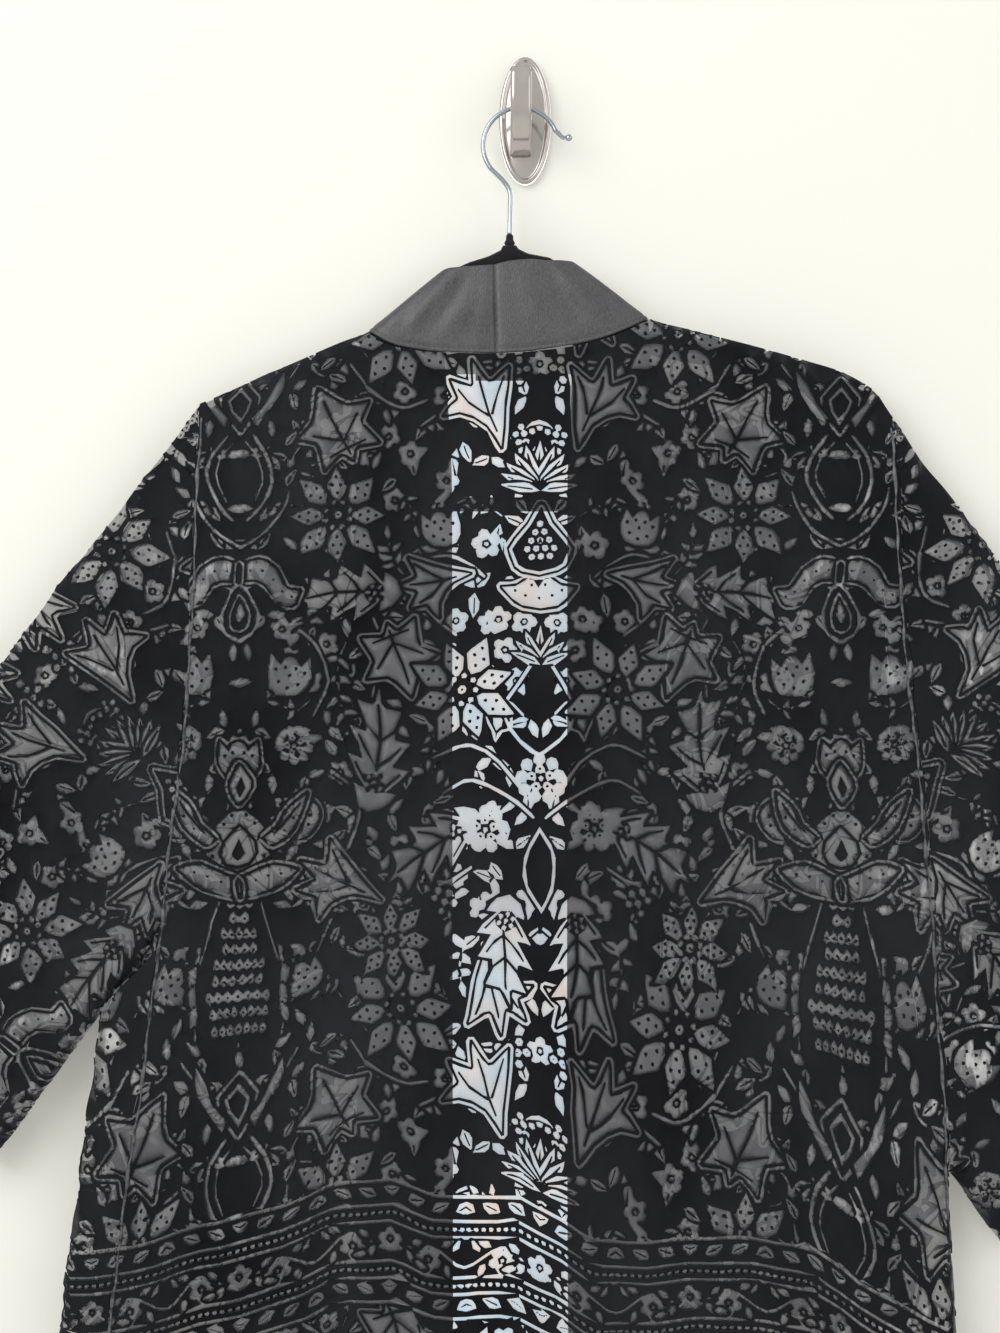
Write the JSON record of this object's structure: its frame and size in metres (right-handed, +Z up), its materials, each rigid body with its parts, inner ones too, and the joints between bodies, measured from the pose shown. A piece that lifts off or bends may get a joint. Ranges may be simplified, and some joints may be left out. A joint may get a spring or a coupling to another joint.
{
  "type": "kimono robe on a hanger and wall hook",
  "caption": "Open-fronted velvet kimono robe with wide sleeves and a satin neckband, hung on a flat hanger from an oval wall hook.",
  "frame": {"origin": "middle of the flat back of the wall hook's plate, in the plane of the wall", "axes": "+Y into the wall, +Z up, +X to the right on the robe's back, which faces -Y"},
  "size_m": [0.959, 0.0539, 1.2303],
  "materials": {
    "velvet": "black pile on a sheer charcoal ground",
    "satin": "charcoal satin with a soft sheen",
    "label": "plain woven tape",
    "flock": "black flocking",
    "wire": "polished",
    "hook": "satin nickel"
  },
  "bodies": {
    "root": {"back_panel": "velvet", "front_left": "velvet", "front_right": "velvet", "sleeve_left": "velvet", "sleeve_right": "velvet", "neckband_left": "satin", "neckband_right": "satin", "neck_label": "label", "hanger_body": "flock", "hanger_neck": "flock", "hanger_hook": "wire", "hook_ball": "wire", "wall_hook_plate": "hook", "wall_hook_arm": "hook"}
  },
  "joints": []
}
